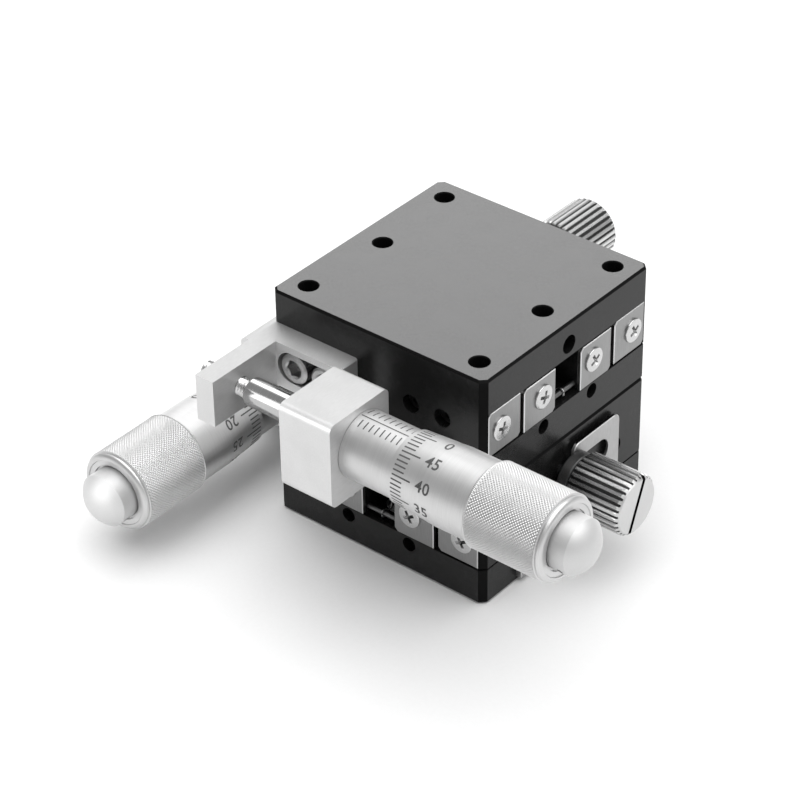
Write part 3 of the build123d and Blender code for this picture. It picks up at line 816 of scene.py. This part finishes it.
@dataclass
class Part:
    """What the sub-assemblies of one stage have in common."""

    level: Level

    @property
    def axis(self) -> Matrix:
        """The frame on the micrometer's axis, with its X along it."""
        return self.level.matrix @ Matrix.Translation(Vector(MICROMETER_AXIS) * MM)

    def dress(self, finish: str, *nodes: str) -> None:
        """Gives nodes of this stage a finish."""
        for node in nodes:
            dress(self.level.node(node), finish)

    def put(
        self,
        node: str,
        suffix: str,
        mesh: bpy.types.Mesh,
        finishes: Sequence[str],
        body: Optional[str] = None,
        place: Optional[Matrix] = None,
        slot: Optional[str] = None,
    ) -> bpy.types.Object:
        """Puts a mesh into the scene in the place of a node.

        Args:
            node: the node, without the stage's name.
            suffix: what the piece's name has after the node's.
            mesh: its mesh.
            finishes: its finishes.
            body: the body it rides on, or None for now.
            place: where it stands in the row frame, or None for the stage's frame.
            slot: not used.

        Returns:
            The piece.
        """
        node = self.level.node(node)
        chosen = [polygon.material_index for polygon in mesh.polygons]
        mesh.materials.clear()
        for finish in finishes:
            mesh.materials.append(material_of(finish))
        mesh.polygons.foreach_set("material_index", chosen)
        mesh.name = node
        piece = add_object(f"{node}_{suffix}", mesh)
        piece.matrix_world = place or self.level.matrix
        if body:
            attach(piece, body)
        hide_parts(node)
        log.info("%s: %d faces, on %s", piece.name, len(mesh.polygons), body)
        return piece

    def put_screws(self, node: str, screws: Screws, body: str) -> None:
        """Builds screws in the place of a node's plain ones.

        Args:
            node: the node, without the stage's name.
            screws: what they are like.
            body: the body that they ride on.
        """
        group = Draft()
        for point, axis, turn in screws.places:
            group.add_mesh(screws.screw.mesh(turn), frame_at(point, axis))
        kind = screws.screw
        self.put(node, kind.suffix, group.mesh(), [kind.finish], body, slot="screw_steel")


@dataclass
class Blocks(Part):
    """The black table and base of one stage, and what is hidden between them."""

    def build(self) -> None:
        """Dresses the blocks, the rails, the cages, the balls and the pins."""
        self.dress("black_anodised", "table", "base")
        self.dress("hard_steel", "table_rails", "base_rails", "balls")
        self.dress("cage_brass", "cages")
        self.dress("black_screw", "preload_screws")
        self.dress("washer_steel", "base_spring_pin", "table_spring_pin")


@dataclass
class EndPlates(Part):
    """The thin plates over the ends of the rails, and their screws."""

    outer_line: float = 16.0
    inner_line: float = 6.15
    height: float = 10.3
    ends: Pair = (-20.0, 20.0)
    turns: tuple[float, ...] = (12.0, 40.0, 71.0, 28.0)

    def build(self) -> None:
        """Dresses the plates and builds their screws."""
        for carrier, line, body in (
            ("table", self.outer_line, self.level.table_body),
            ("base", self.inner_line, self.level.base_body),
        ):
            self.dress("end_plate_steel", f"{carrier}_stops")
            lines = (-line, line)
            screws = Screws(CrossHeadScrew(), self.ends, lines, self.height, self.turns, True)
            self.put_screws(f"{carrier}_stop_screws", screws, body)


@dataclass
class MicrometerHead(Part):
    """Sleeve, spindle, thimble and cap, all turned on one axis along X."""

    spindle_tip: float = -13.57
    spindle_radius: float = 2.25
    spindle_edge: float = 0.25
    shank_start: float = -2.2
    shank_end: float = 7.25
    shank_radius: float = 4.75
    sleeve_radius: float = 5.3
    sleeve_end: float = 30.4
    tick_half: float = 0.1
    upper_ticks: tuple[float, int, Pair] = (8.5, 8, (11.5, 26.5))
    lower_ticks: tuple[float, int, Pair] = (8.0, 9, (-22.0, -5.0))
    index_line: tuple[Pair, Pair] = ((7.6, 16.6), (2.3, 4.3))
    thimble_start: float = 16.3
    thimble_front: float = 5.62
    thimble_full: float = 24.0
    thimble_radius: float = 6.1
    thimble_bore: float = 5.45
    cavity_end: float = 37.2
    knurl_start: float = 30.1
    knurl_bevel: float = 0.45
    knurl_end: float = 42.6
    knurl_radius: float = 6.6
    knurl_depth: float = 0.17
    knurl_count: int = 80
    knurl_step: float = 0.13
    knurl_fade: float = 0.15
    thimble_back: float = 43.5
    collar_radius: float = 6.38
    collar_inner: float = 5.5
    collar_start: float = 0.3
    collar_notch: Pair = (0.12, 0.08)
    collar_lip: Pair = (0.14, 0.1)
    collar_steps: int = 12
    recess_radius: float = 4.6
    recess_depth: float = 0.5
    cap_radius: float = 4.3
    cap_neck: float = 3.7
    cap_start: float = 43.12
    cap_shoulder: float = 46.0
    cap_dome: float = 2.2
    cap_steps: int = 16
    wrench_hole: Triple = (44.95, 124.0, 0.55)
    wrench_reach: Pair = (3.0, 5.0)
    scale_start: float = 17.0
    scale_count: int = 50
    long_line: float = 3.4
    short_line: float = 2.0
    line_width: float = 0.24
    number_every: int = 5
    number_place: float = 22.65
    number_size: float = 2.485
    number_weight: float = 0.035
    number_spacing: float = 1.06
    number_slices: int = 5
    number_slice: float = 0.2
    lower_zero: float = 89.7
    upper_zero: float = -4.9
    proud: float = 0.015
    patch_step: float = 3.0
    flange: Screws = Screws(
        CrossHeadScrew(head=3.76, rim=0.08, dome=0.05, length=6.5),
        planes=(-23.0,), lines=(-4.9, 9.9), height=3.55, turns=(33.0, 74.0),
    )

    @property
    def zero_angle(self) -> float:
        """Where the thimble's 0 stands, in degrees from the top towards -Y."""
        return self.lower_zero if self.level is Level.LOWER else self.upper_zero

    @property
    def bore(self) -> float:
        """The radius of the holes that the spindle runs in."""
        return self.spindle_radius + CLEARANCE

    @property
    def recess(self) -> float:
        """Where the recess in the thimble's back ends along the axis."""
        return self.thimble_back - self.recess_depth

    def on_skin(self, along: float, angle: float, radius: float) -> Vector:
        """The point of a cylinder at an angle in degrees, from the top towards -Y."""
        a = radians(angle)
        return Vector((along, -radius * sin(a), radius * cos(a)))

    def sleeve_skin(self, along: float) -> float:
        """The sleeve's radius, the same all along."""
        return self.sleeve_radius

    def scale_skin(self, along: float) -> float:
        """The radius of the thimble's scale, a long cone that runs into its cylinder."""
        share = (along - self.thimble_start) / (self.thimble_full - self.thimble_start)
        return self.thimble_front + (self.thimble_radius - self.thimble_front) * held(share)

    def patch(
        self, draft: Draft, skin: Callable[[float], float], along: Pair, angles: Pair
    ) -> None:
        """A thin mark that lies on a cylinder or a cone.

        Args:
            draft: the draft it goes into.
            skin: gives its radius from the place along the axis.
            along: where it starts and ends along the axis.
            angles: where it starts and ends round the axis, in degrees.
        """
        width = angles[1] - angles[0]
        steps = max(1, ceil(abs(width) / self.patch_step))
        rings = []
        for i in range(steps + 1):
            angle = angles[0] + width * i / steps
            ends = (along[1], along[0])
            rings.append([self.on_skin(x, angle, skin(x) + self.proud) for x in ends])
        draft.loft(rings, INK, around=False)

    def number(self, draft: Draft, text: str, angle: float) -> None:
        """A number that lies on the thimble and reads along it.

        Args:
            draft: the draft it goes into.
            text: the number.
            angle: where its middle stands, in degrees.
        """
        curve = bpy.data.curves.new("number", "FONT")
        curve.body = text
        curve.align_x = curve.align_y = "CENTER"
        curve.size = self.number_size
        curve.resolution_u = 3
        curve.space_character = self.number_spacing
        curve.offset = self.number_weight
        work = bmesh.new()
        work.from_mesh(final_mesh(add_object("number", curve)))
        for i in range(-self.number_slices, self.number_slices + 1):
            whole = work.verts[:] + work.edges[:] + work.faces[:]
            middle = (0, i * self.number_slice, 0)
            bmesh.ops.bisect_plane(work, geom=whole, plane_co=middle, plane_no=(0, 1, 0))
        work.verts.ensure_lookup_table()
        points = []
        for vertex in work.verts:
            along = self.number_place + vertex.co.x
            turn = angle - degrees(vertex.co.y / self.thimble_radius)
            points.append(self.on_skin(along, turn, self.scale_skin(along) + self.proud))
        draft.add(points, [tuple(v.index for v in f.verts) for f in work.faces], INK)
        work.free()

    def knurl(self, along: float, radius: float, angle: float) -> float:
        """The thimble's radius with the diamonds of its knurl.

        Args:
            along: the place along the axis.
            radius: the plain radius there.
            angle: the angle round the axis.

        Returns:
            The true radius.
        """
        start = self.knurl_start + self.knurl_bevel
        if radius < self.knurl_radius - SAME or not start <= along <= self.knurl_end:
            return radius
        pitch = 2 * pi * self.knurl_radius / self.knurl_count
        turn = angle * self.knurl_count / (2 * pi)
        slope = (along - start) / pitch
        edge = max(wave(turn + slope), wave(turn - slope))
        inside = min(along - start, self.knurl_end - along)
        return radius - self.knurl_depth * edge * held(inside / self.knurl_fade)

    def build_sleeve(self) -> None:
        """Builds the sleeve with its scale."""
        draft = Draft()
        corners = [
            (self.shank_start, self.bore, 0.0),
            (self.shank_start, self.shank_radius, 0.25),
            (self.shank_end, self.shank_radius, 0.0),
            (self.shank_end, self.sleeve_radius, 0.15),
            (self.sleeve_end, self.sleeve_radius, 0.1),
            (self.sleeve_end, self.bore, 0.0),
            (self.shank_start, self.bore, 0.0),
        ]
        draft.turned(softened(corners), segments=160)
        for first, count, angles in (self.upper_ticks, self.lower_ticks):
            for x in (first + i for i in range(count)):
                width = (x - self.tick_half, x + self.tick_half)
                self.patch(draft, self.sleeve_skin, width, angles)
        self.patch(draft, self.sleeve_skin, *self.index_line)
        self.put("sleeve", "scaled", draft.mesh(), MARKED, self.level.base_body, self.axis)

    def build_spindle(self) -> None:
        """Builds the spindle."""
        draft = Draft()
        back = self.recess - CLEARANCE
        corners = [
            (self.spindle_tip, 0.0, 0.0),
            (self.spindle_tip, self.spindle_radius, self.spindle_edge),
            (back, self.spindle_radius, 0.0),
            (back, 0.0, 0.0),
        ]
        draft.turned(softened(corners), segments=96)
        body = self.level.node("spindle")
        self.put("spindle", "ground", draft.mesh(), ["spindle_steel"], body, self.axis)

    def build_thimble(self) -> None:
        """Builds the thimble with its bevelled scale and its knurled grip."""
        draft = Draft()
        start = self.knurl_start + self.knurl_bevel
        count = round((self.knurl_end - start) / self.knurl_step)
        front = softened(
            [
                (self.thimble_start, self.thimble_bore, 0.0),
                (self.thimble_start, self.thimble_front, 0.04),
                (self.thimble_full, self.thimble_radius, 0.0),
                (self.knurl_start, self.thimble_radius, 0.1),
                (start, self.knurl_radius, 0.0),
            ]
        )
        grip = [
            (start + (self.knurl_end - start) * i / count, self.knurl_radius)
            for i in range(1, count + 1)
        ]
        ring = self.thimble_back - self.knurl_end - self.collar_start
        width = self.collar_radius - self.collar_inner
        middle = self.knurl_end + self.collar_start
        turns = [radians(90 / self.collar_steps * i) for i in range(self.collar_steps + 1)]
        notch, lip = self.collar_notch, self.collar_lip
        back = softened(
            [
                (self.knurl_end, self.knurl_radius, 0.0),
                (self.knurl_end + notch[0], self.collar_radius - notch[1], 0.0),
                *((middle + ring * sin(a), self.collar_inner + width * cos(a), 0.0) for a in turns),
                (self.thimble_back - lip[0], self.collar_inner - lip[1], 0.0),
                (self.thimble_back - lip[0], self.recess_radius, 0.06),
                (self.recess, self.recess_radius, 0.0),
                (self.recess, self.bore, 0.0),
                (self.cavity_end, self.bore, 0.0),
                (self.cavity_end, self.thimble_bore, 0.0),
                (self.thimble_start, self.thimble_bore, 0.0),
            ],
            steps=6,
        )[1:]
        draft.turned(front + grip + back, 4 * self.knurl_count, self.knurl)
        half = degrees(self.line_width / 2 / self.thimble_radius)
        for n in range(self.scale_count):
            angle = self.zero_angle - 360 / self.scale_count * n
            numbered = n % self.number_every == 0
            end = self.scale_start + (self.long_line if numbered else self.short_line)
            along, angles = (self.scale_start, end), (angle - half, angle + half)
            self.patch(draft, self.scale_skin, along, angles)
            if numbered:
                self.number(draft, str(n), angle)
        body = self.level.node("thimble")
        self.put("thimble", "knurled", draft.mesh(sharp=22.0), MARKED, body, self.axis)

    def build_cap(self) -> None:
        """Builds the end cap."""
        draft = Draft()
        front = softened(
            [
                (self.recess, 0.0, 0.0),
                (self.recess, self.cap_neck, 0.0),
                (self.cap_start, self.cap_neck, 0.05),
                (self.cap_start, self.cap_radius, 0.12),
                (self.cap_shoulder, self.cap_radius, 0.0),
            ]
        )
        ball = (self.cap_radius**2 + self.cap_dome**2) / (2 * self.cap_dome)
        middle = self.cap_shoulder + self.cap_dome - ball
        rim = asin(self.cap_radius / ball)
        turns = [rim * (1 - i / self.cap_steps) for i in range(1, self.cap_steps)]
        dome = [(middle + ball * cos(a), ball * sin(a)) for a in turns]
        tip = [(self.cap_shoulder + self.cap_dome, 0.0)]
        draft.turned(front + dome + tip, segments=128)
        along, angle, radius = self.wrench_hole
        side = 1 if self.level is Level.UPPER else -1
        near, far = self.wrench_reach
        hole = Draft()
        hole.turned([(near, 0.0), (near, radius), (far, radius), (far, 0.0)], segments=40)
        place = frame_at((along, 0, 0), self.on_skin(0.0, angle * side, 1.0), (1, 0, 0))
        place.translation /= MM
        hole.points = [place @ point for point in hole.points]
        mesh = cut_from(draft.mesh(), hole.mesh())
        body = self.level.node("thimble")
        self.put("cap", "turned", mesh, ["cap_chrome"], body, self.axis, "satin_chrome")

    def build(self) -> None:
        """Builds the head's four pieces and dresses its holder."""
        self.build_sleeve()
        self.build_spindle()
        self.build_thimble()
        self.build_cap()
        self.dress("clear_anodised", "holder")
        self.put_screws("holder_screws", self.flange, self.level.base_body)


@dataclass
class AnvilBracket(Part):
    """The angle bracket on the table, its cap screws and the anvil in its arm."""

    anvil_start: float = -22.7
    anvil_end: float = -13.58
    anvil_radius: float = 1.5
    anvil_chamfer: float = 0.35
    thread_pitch: float = 0.5
    thread_depth: float = 0.26
    thread_step: float = 0.0625
    thread_end: float = 0.3
    hexagon: float = 1.5
    hexagon_depth: float = 1.3
    overcut: float = 0.1
    screws: Screws = Screws(
        SocketScrew(), planes=(-21.0,), lines=(-12.4, -6.6), height=10.8, turns=(8.0, 37.0)
    )

    def thread(self, along: float, radius: float, angle: float) -> float:
        """The anvil's radius with its thread, from the place, radius and angle without."""
        inside = min(along - self.anvil_start, self.anvil_end - along)
        groove = 1 - wave(along / self.thread_pitch + angle / (2 * pi))
        depth = max(self.thread_depth * groove, self.thread_end - inside)
        return radius if radius < self.anvil_radius - SAME else radius - depth

    def build(self) -> None:
        """Builds the threaded anvil and the screws, and dresses the bracket."""
        draft = Draft()
        start, end, radius = self.anvil_start, self.anvil_end, self.anvil_radius
        tip = radius - self.anvil_chamfer
        count = round((end - start) / self.thread_step)
        profile = [(start, 0.0), (start, tip)]
        profile += [(start + (end - start) * i / count, radius) for i in range(count + 1)]
        profile += [(end, tip), (end, 0.0)]
        draft.turned(profile, segments=40, skin=self.thread)
        socket = Draft()
        socket.prism(hexagon(self.hexagon), start - self.overcut, start + self.hexagon_depth)
        mesh = cut_from(draft.mesh(), socket.mesh(), sharp=40.0)
        body = self.level.table_body
        self.put("anvil", "threaded", mesh, ["screw_steel"], body, self.axis)
        self.dress("clear_anodised", "bracket")
        self.put_screws("bracket_screws", self.screws, body)


@dataclass
class Clamp(Part):
    """The slotted plate on the base, and the ridged knob that presses it."""

    knob_start: float = 23.0
    knob_length: float = 10.0
    knob_radius: float = 4.9
    knob_height: float = 12.8
    ridge_count: int = 30
    ridge_depth: float = 0.38
    ridge_steps: int = 10
    ridge_foot: float = 0.78
    ridge_flank: float = 0.3
    rim: float = 0.55
    rim_steps: int = 6
    line_steps: int = 16
    long_line: float = 1.0
    slot_width: float = 0.75
    slot_depth: float = 1.0
    slot_tilt: float = 22.0
    overcut: float = 0.5
    face_tilt: float = 0.6
    stud_radius: float = 1.56
    stud_end: float = 8.15
    screws: Screws = Screws(
        CrossHeadScrew(head=3.76, rim=0.08, dome=0.05),
        planes=(21.0,), lines=(-7.5, 7.5), height=3.4, turns=(18.0, 63.0),
    )

    def ridge(self, along: float, radius: float, angle: float) -> float:
        """The knob's radius with its ridges, from the place, radius and angle without."""
        across = wave(angle * self.ridge_count / (2 * pi))
        height = held((self.ridge_foot - across) / self.ridge_flank)
        return min(radius, self.knob_radius - self.ridge_depth * (1 - height))

    def build(self) -> None:
        """Builds the knob and dresses the plate, the washer, the stud and the screws."""
        draft = Draft()
        length, radius = self.knob_length, self.knob_radius
        profile = [(0.0, self.stud_radius), (0.0, radius - self.rim)]
        profile += [(self.rim, radius), (length - self.rim, radius)]
        profile += [(length, radius - self.rim), (length, 0.0)]
        profile += [(self.stud_end, 0.0), (self.stud_end, self.stud_radius)]
        draft.turned(self.with_steps(profile), self.ridge_count * self.ridge_steps, self.ridge)
        slot = Draft()
        half = self.slot_width / 2
        tilt = radians(self.slot_tilt)
        side = Vector((cos(tilt), -sin(tilt)))
        run = Vector((sin(tilt), cos(tilt))) * (radius + self.overcut)
        corners = [side * half + run, side * -half + run, side * -half - run, side * half - run]
        outline = [(corner.x, corner.y) for corner in corners]
        slot.prism(outline, length - self.slot_depth, length + self.overcut)
        mesh = cut_from(draft.mesh(), slot.mesh(), sharp=25.0)
        for polygon in mesh.polygons:
            polygon.material_index = int(polygon.normal.x > self.face_tilt)
        place = self.level.matrix @ frame_at((0, self.knob_start, self.knob_height), (0, 1, 0))
        finishes, body = ["knob_steel", "knob_face_steel"], self.level.node("knob")
        self.put("clamp_knob", "ridged", mesh, finishes, body, place)
        self.dress("clamp_plate_steel", "clamp_plate")
        self.put_screws("clamp_plate_screws", self.screws, self.level.base_body)
        self.dress("washer_steel", "clamp_washer")
        self.dress("screw_steel", "clamp_stud")

    def with_steps(self, profile: Sequence[Pair]) -> list[Pair]:
        """The profile with its lines divided, so that the ridges run out in its rims.

        Args:
            profile: the profile's corners.

        Returns:
            The divided profile.
        """
        points: list[Pair] = [profile[0]]
        for (x, y), (to_x, to_y) in zip(profile, profile[1:]):
            short = hypot(to_x - x, to_y - y) < self.long_line
            steps = self.rim_steps if short else self.line_steps
            shares = [i / steps for i in range(1, steps + 1)]
            points += [(x + (to_x - x) * t, y + (to_y - y) * t) for t in shares]
        return points


@dataclass
class ReturnSpring(Part):
    """The coil spring in the channel, hooked on a pin of the base and one of the table."""

    height: float = 7.15
    table_pin: float = -10.5
    base_pin: float = 18.6
    pin_radius: float = 0.47
    wire: float = 0.35
    wire_sides: int = 8
    coil_radius: float = 1.125
    hook: float = 1.2
    hook_rise: float = 0.55
    hook_turn: float = 22.0
    hook_steps: int = 8
    pitch: float = 0.37
    steps: int = 18
    blend_reach: float = 2.2

    def path(self) -> list[Vector]:
        """The middle line of the wire.

        Returns:
            Its points, in the stage's frame.
        """
        eye = self.pin_radius + self.wire / 2
        reach = self.pin_radius + self.wire + self.hook
        start, end = self.table_pin + reach, self.base_pin - reach
        turns = round((end - start) / self.pitch)
        points: list[Triple] = []
        for i in range(1 - self.hook_steps, self.hook_steps + 1):
            a = radians(180 + i * self.hook_turn)
            points.append((self.table_pin - eye * cos(a), eye * sin(a), 0.0))
        points.append((start - self.hook_rise, 0.0, 0.0))
        for i in range(turns * self.steps + 1):
            a = 2 * pi * i / self.steps
            x = start + (end - start) * i / (turns * self.steps)
            points.append((x, self.coil_radius * sin(a), self.coil_radius * cos(a)))
        points.append((end + self.hook_rise, 0.0, 0.0))
        for i in range(-self.hook_steps, self.hook_steps):
            a = radians(i * self.hook_turn)
            points.append((self.base_pin - eye * cos(a), 0.0, eye * sin(a)))
        return [Vector(point) + Vector((0, 0, self.height)) for point in points]

    def build(self) -> None:
        """Builds the spring from the table's pin to the base's pin."""
        path = self.path()
        radius = self.wire / 2
        angles = [2 * pi * k / self.wire_sides for k in range(self.wire_sides)]
        rings = []
        side = Vector(UP)
        for i, point in enumerate(path):
            along = (path[min(i + 1, len(path) - 1)] - path[max(i - 1, 0)]).normalized()
            side = (side - along * side.dot(along)).normalized()
            other = along.cross(side)
            rings.append(
                [point + side * (radius * cos(a)) + other * (radius * sin(a)) for a in angles]
            )
        draft = Draft()
        draft.loft([[path[0]]] + rings + [[path[-1]]])
        piece = self.put("spring", "coil", draft.mesh(sharp=60.0), ["spring_steel"])
        ends = [
            self.level.matrix @ Vector((x * MM, 0, self.height * MM))
            for x in (self.base_pin - self.blend_reach, self.table_pin + self.blend_reach)
        ]
        self.level.table_body
        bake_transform(piece)


@dataclass
class Studio:
    """Floor, lights and camera, in metres."""

    floor_size: float = 6.0
    floor_drop: float = 2e-5
    camera_place: Triple = (0.23156, -0.29147, 0.27848)
    camera_forward: Triple = (-0.52538, 0.62832, -0.57375)
    camera_right: Triple = (0.77266, 0.63469, -0.01247)
    lens: float = 134.4
    target: Triple = (0.0, 0.0, 0.02)
    world: float = 0.45

    def build_floor(self) -> None:
        """Lays the pale floor."""
        half = self.floor_size / 2
        corners = [(-half, -half, 0), (half, -half, 0), (half, half, 0), (-half, half, 0)]
        mesh = bpy.data.meshes.new("floor")
        mesh.from_pydata(corners, [], [(0, 1, 2, 3)])
        mesh.materials.append(material_of("floor_paper"))
        floor = add_object("floor", mesh)
        floor.location.z = -self.floor_drop

    def light(
        self,
        name: str,
        place: Triple,
        size: Pair,
        radiance: float,
        only: Sequence[str],
        fill: bool = False,
    ) -> None:
        """Hangs a soft box that looks at the stage.

        Args:
            name: its name.
            place: where it hangs.
            size: its width and height.
            radiance: how bright its face is.
            only: the nodes and pieces that it lights.
            fill: whether it lights them without shadows.
        """
        data = bpy.data.lights.new(name, "AREA")
        data.shape = "RECTANGLE"
        data.size, data.size_y = size
        data.energy = radiance * pi * size[0] * size[1]
        data.use_shadow = not fill
        data.cycles.use_multiple_importance_sampling = not fill
        lamp = add_object(name, data)
        lamp.location = place
        lamp.rotation_mode = "QUATERNION"
        aim = Vector(self.target) - Vector(place)
        lamp.rotation_quaternion = aim.to_track_quat("-Z", "Y")
        lit = bpy.data.collections.new(f"{name}_on")
        for node in only:
            lit.objects.link(bpy.data.objects[node])
        lamp.light_linking.receiver_collection = lit

    def build_lights(self) -> None:
        """Hangs the soft boxes, each for the pieces that show its reflection."""
        pieces = [item.name for item in bpy.data.objects if item.type == "MESH"]
        pieces.remove("floor")
        silver_ends = ("holder", "bracket", "scaled", "knurled", "turned")
        silver = [name for name in pieces if name.endswith(silver_ends)]
        silver.append("upper_clamp_knob_ridged")
        rods = [level.node("spindle_ground") for level in Level]
        blocks = [level.node(name) for level in Level for name in ("table", "base")]
        bright = [level.node(name) for level in Level for name in ("holder", "bracket")]
        cap, thimble = ["lower_cap_turned"], ["lower_thimble_knurled"]
        self.light("softbox_floor", (0.05, 0.02, 1.3), (2.2, 2.2), 1.96, ["floor"])
        self.light("softbox_top", (0.35, 0.1, 1.3), (1.6, 2.3), 2.55, pieces)
        self.light("softbox_back", (-0.6, 0.72, 0.66), (1.2, 0.9), 0.55, pieces)
        self.light("softbox_rim", (-0.6, 0.72, 0.66), (1.2, 0.9), 5.0, silver)
        self.light("softbox_low", (-0.525, -0.805, 0.3), (0.5, 0.95), 2.3, rods)
        self.light("softbox_high", (-0.525, 0.413, 0.77), (0.5, 0.66), 2.3, rods)
        self.light("softbox_sheen", (-0.55, 0.66, 0.64), (0.5, 0.42), 6.6, blocks)
        self.light("softbox_cap", (-0.2, -0.8, 0.25), (1.0, 0.9), 2.2, cap)
        self.light("softbox_thimble", (0.62, 0.6, 0.43), (1.1, 1.1), 0.72, thimble, fill=True)
        self.light("softbox_front", (-0.2, -0.9, 0.3), (0.8, 0.6), 4.5, bright)

    def build_camera(self) -> None:
        """Sets up the camera as the photograph was taken."""
        data = bpy.data.cameras.new("camera")
        data.sensor_fit = "HORIZONTAL"
        data.sensor_width = 36.0
        data.lens = self.lens
        data.clip_start, data.clip_end = 0.01, 20.0
        camera = add_object("camera", data)
        forward = Vector(self.camera_forward).normalized()
        right = Vector(self.camera_right)
        right = (right - forward * right.dot(forward)).normalized()
        up = right.cross(forward)
        turn = Matrix((right, up, -forward)).transposed().to_4x4()
        camera.matrix_world = Matrix.Translation(self.camera_place) @ turn
        bpy.context.scene.camera = camera

    def build(self) -> None:
        """Builds the studio."""
        self.build_floor()
        self.build_lights()
        world = bpy.data.worlds.new("world")
        world.use_nodes = True
        background = world.node_tree.nodes["Background"]
        background.inputs["Color"].default_value = grey(1.0)
        background.inputs["Strength"].default_value = self.world
        bpy.context.scene.world = world
        bpy.context.scene.view_settings.view_transform = "Standard"
        bpy.context.scene.view_settings.look = "None"
        self.build_camera()


def main() -> None:
    """Builds the stages and the studio."""
    logging.basicConfig(level=logging.INFO, format="%(name)s %(message)s")
    for level in Level:
        for part in (Blocks, EndPlates, MicrometerHead, AnvilBracket, Clamp, ReturnSpring):
            part(level).build()
    dress("stack_screws", "screw_steel")
    Studio().build()


if __name__ == "__main__":
    main()
